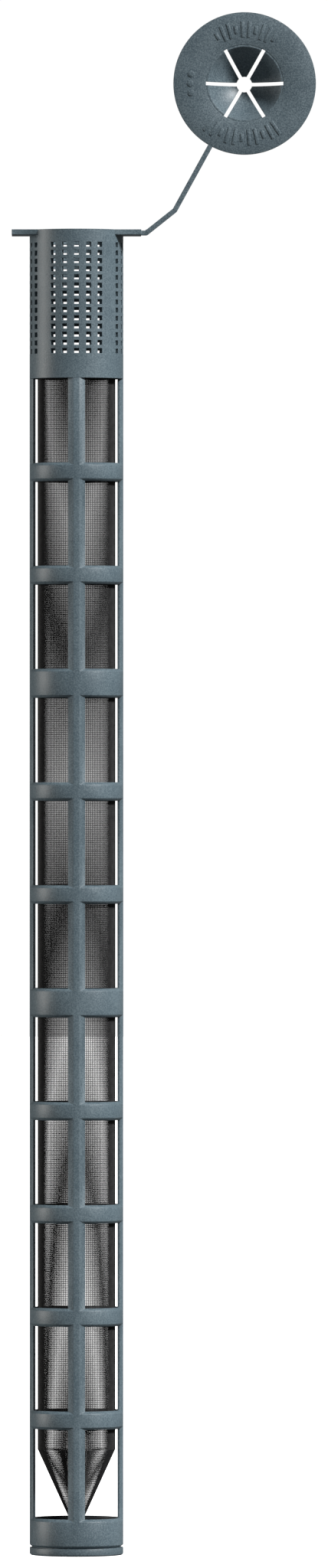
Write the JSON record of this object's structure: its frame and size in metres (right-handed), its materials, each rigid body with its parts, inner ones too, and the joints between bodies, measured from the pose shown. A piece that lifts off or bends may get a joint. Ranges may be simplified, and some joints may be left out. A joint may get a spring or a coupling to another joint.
{
  "type": "anchor screen tube",
  "caption": "Ribbed plastic tube lined with woven mesh, perforated collar with two ears, closed foot, and a slotted centring cap on a strap.",
  "frame": {"origin": "on the tube's axis, in the plane of the ears' undersides, where they rest on the wall", "axes": "+Z along the tube and out of its mouth, +X towards the side that the cap hangs on, -Y the way the cap's face looks"},
  "size_m": [0.0583, 0.018, 0.2958],
  "materials": {
    "moulded_grey": "matte slate grey polypropylene with a fine grain",
    "cap_grey": "matte slate grey polypropylene with a fine grain",
    "strap_grey": "matte slate grey polypropylene",
    "plug_grey": "matte slate grey polypropylene",
    "woven_mesh": "black woven monofilament mesh"
  },
  "bodies": {
    "root": {"perforated_collar": "moulded_grey", "upper_cage": "moulded_grey", "middle_cage": "moulded_grey", "lower_cage": "moulded_grey", "mesh_sleeve": "woven_mesh", "end_plug": "plug_grey"},
    "strap_link_1": {"strap_link_1": "strap_grey"},
    "strap_link_2": {"strap_link_2": "strap_grey"},
    "strap_neck": {"strap_neck": "strap_grey"},
    "cap": {"cap_ring": "cap_grey"},
    "petal_1": {"petal_1": "cap_grey"},
    "petal_2": {"petal_2": "cap_grey"},
    "petal_3": {"petal_3": "cap_grey"},
    "petal_4": {"petal_4": "cap_grey"},
    "petal_5": {"petal_5": "cap_grey"},
    "petal_6": {"petal_6": "cap_grey"}
  },
  "joints": [
    {"name": "strap_root_bend", "type": "hinge", "parent": "root", "child": "strap_link_1", "pos_m": [0.01336, 0, 0.00047], "axis": [0, -1, 0], "range_deg": [-37, 0], "stiffness_Nm_per_rad": 0.0006},
    {"name": "strap_fold_bend", "type": "hinge", "parent": "strap_link_1", "child": "strap_link_2", "pos_m": [0.02032, 0, 0.00856], "axis": [0, -1, 0], "range_deg": [0, 165.31], "stiffness_Nm_per_rad": 0.0006},
    {"name": "strap_neck_bend", "type": "hinge", "parent": "strap_link_2", "child": "strap_neck", "pos_m": [0.02461, 0, 0.01533], "axis": [0, -1, 0], "range_deg": [-10.01, 0], "stiffness_Nm_per_rad": 0.0006},
    {"name": "cap_turn", "type": "hinge", "parent": "strap_neck", "child": "cap", "pos_m": [0.02562, 0, 0.01717], "axis": [0.4818, 0, 0.8763], "range_deg": [0, 90], "stiffness_Nm_per_rad": 0.004},
    {"name": "petal_1_flex", "type": "hinge", "parent": "cap", "child": "petal_1", "pos_m": [0.03819, 0.00035, 0.03262], "axis": [0.5, 0, -0.866], "range_deg": [0, 42], "stiffness_Nm_per_rad": 0.009},
    {"name": "petal_2_flex", "type": "hinge", "parent": "cap", "child": "petal_2", "pos_m": [0.03222, 0.00035, 0.03607], "axis": [1, 0, 0], "range_deg": [0, 42], "stiffness_Nm_per_rad": 0.009},
    {"name": "petal_3_flex", "type": "hinge", "parent": "cap", "child": "petal_3", "pos_m": [0.02624, 0.00035, 0.03262], "axis": [0.5, 0, 0.866], "range_deg": [0, 42], "stiffness_Nm_per_rad": 0.009},
    {"name": "petal_4_flex", "type": "hinge", "parent": "cap", "child": "petal_4", "pos_m": [0.02624, 0.00035, 0.02572], "axis": [-0.5, 0, 0.866], "range_deg": [0, 42], "stiffness_Nm_per_rad": 0.009},
    {"name": "petal_5_flex", "type": "hinge", "parent": "cap", "child": "petal_5", "pos_m": [0.03222, 0.00035, 0.02227], "axis": [-1, 0, 0], "range_deg": [0, 42], "stiffness_Nm_per_rad": 0.009},
    {"name": "petal_6_flex", "type": "hinge", "parent": "cap", "child": "petal_6", "pos_m": [0.03819, 0.00035, 0.02572], "axis": [-0.5, 0, -0.866], "range_deg": [0, 42], "stiffness_Nm_per_rad": 0.009}
  ],
  "couplings": [
    {"joint": "strap_root_bend", "follows": "cap_turn", "ratio": -0.40556},
    {"joint": "strap_fold_bend", "follows": "cap_turn", "ratio": 1.8312},
    {"joint": "strap_neck_bend", "follows": "cap_turn", "ratio": -0.10567},
    {"joint": "petal_2_flex", "follows": "petal_1_flex", "ratio": 1},
    {"joint": "petal_3_flex", "follows": "petal_1_flex", "ratio": 1},
    {"joint": "petal_4_flex", "follows": "petal_1_flex", "ratio": 1},
    {"joint": "petal_5_flex", "follows": "petal_1_flex", "ratio": 1},
    {"joint": "petal_6_flex", "follows": "petal_1_flex", "ratio": 1}
  ]
}
